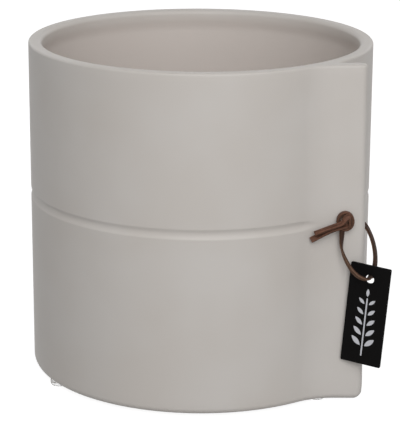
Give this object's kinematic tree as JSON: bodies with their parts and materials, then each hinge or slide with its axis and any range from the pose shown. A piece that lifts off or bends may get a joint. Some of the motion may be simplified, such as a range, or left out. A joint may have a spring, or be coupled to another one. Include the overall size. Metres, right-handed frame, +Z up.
{
  "type": "cachepot",
  "caption": "Round ceramic cachepot with a flap leaving its wall like the overlap of a rolled sheet, dressed with a leather lace and a hang tag.",
  "frame": {"origin": "on the axis of the pot's round wall, in the plane of the foot pads' undersides", "axes": "+Z up along the pot's axis, -Y towards the front, which the flap's flat face and the knot look along, +X to the right of someone facing the front"},
  "size_m": [0.1754, 0.17, 0.1676],
  "materials": {
    "matte_glaze": "satin matte glaze",
    "clear_pad": "clear soft bumper",
    "brown_leather": "waxed, cut edges",
    "black_board": "painted matte black"
  },
  "bodies": {
    "pot": {"pot_body": "matte_glaze", "foot_pad_1": "clear_pad", "foot_pad_2": "clear_pad", "foot_pad_3": "clear_pad"},
    "lace": {"lace_loop": "brown_leather", "lace_knot": "brown_leather"},
    "tag": {"hang_tag": "black_board"}
  },
  "joints": [
    {"name": "lace_swing", "type": "hinge", "parent": "pot", "child": "lace", "pos_m": [0.06857, -0.0607, 0.0933], "axis": [0, -1, 0], "range_deg": [0, 55]},
    {"name": "tag_swing", "type": "hinge", "parent": "lace", "child": "tag", "pos_m": [0.08056, -0.0709, 0.0662], "axis": [-0.4131, -0.9107, 0], "range_deg": [0, 40]}
  ]
}
